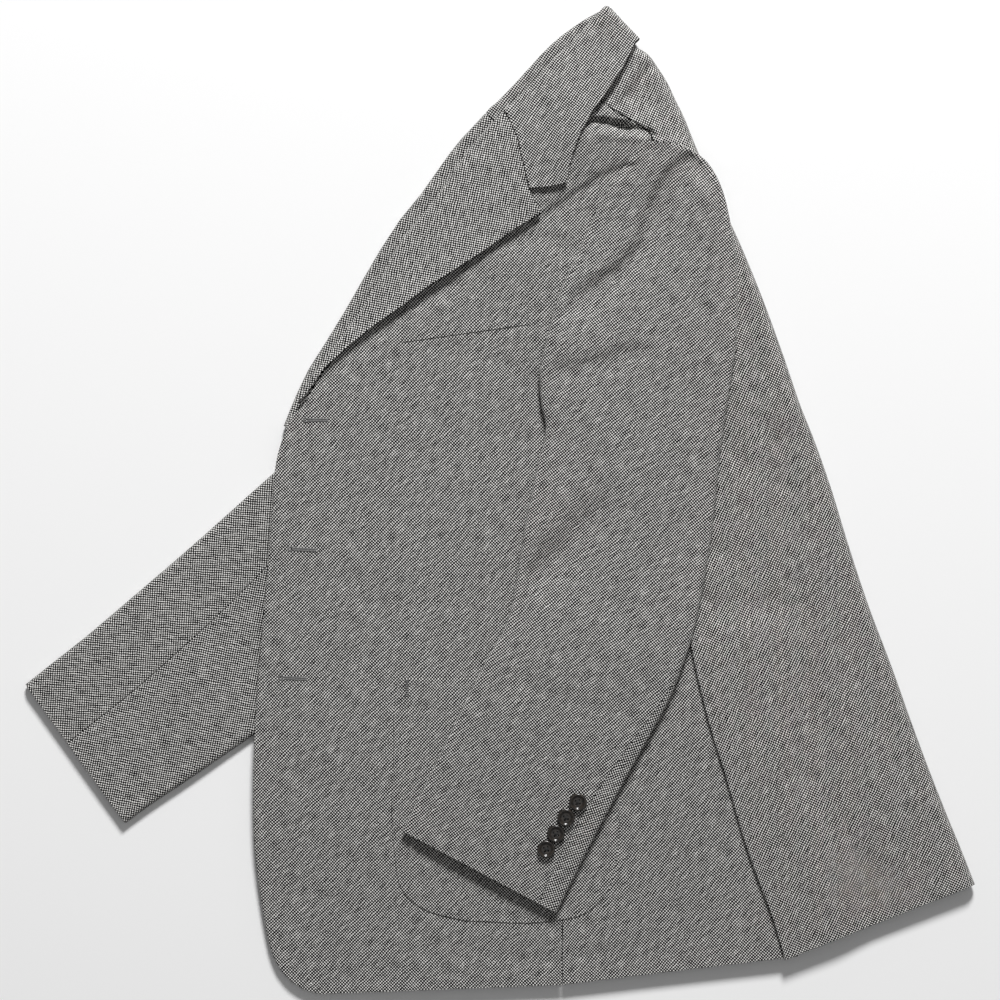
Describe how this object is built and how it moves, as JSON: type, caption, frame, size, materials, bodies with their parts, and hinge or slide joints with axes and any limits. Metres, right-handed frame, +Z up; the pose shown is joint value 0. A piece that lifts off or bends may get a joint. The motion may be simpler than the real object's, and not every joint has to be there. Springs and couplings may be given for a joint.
{
  "type": "folded sport coat",
  "caption": "Woven notch-lapel sport coat folded in half along the centre back and laid flat, with a patch pocket, a breast welt, a back vent and buttoned cuffs.",
  "frame": {"origin": "middle of the bounding box, at the surface the coat lies on", "axes": "+X from the front edge to the centre back fold, +Y from the hem to the collar, +Z up from the surface it lies on"},
  "size_m": [0.798, 0.8298, 0.0305],
  "materials": {
    "coat_cloth": "black and off-white birdseye worsted, matte",
    "button_horn": "polished near-black horn"
  },
  "bodies": {
    "root": {"left_front": "coat_cloth", "left_side": "coat_cloth", "left_back": "coat_cloth", "right_front": "coat_cloth", "right_side": "coat_cloth", "right_back": "coat_cloth", "folded_inside": "coat_cloth", "left_facing": "coat_cloth", "left_collar": "coat_cloth", "right_facing": "coat_cloth", "right_collar": "coat_cloth", "left_patch_pocket": "coat_cloth", "breast_welt": "coat_cloth", "left_top_sleeve": "coat_cloth", "left_under_sleeve": "coat_cloth", "right_top_sleeve": "coat_cloth", "right_under_sleeve": "coat_cloth", "cuff_button_1": "button_horn", "cuff_button_2": "button_horn", "cuff_button_3": "button_horn", "cuff_button_4": "button_horn"}
  },
  "joints": []
}
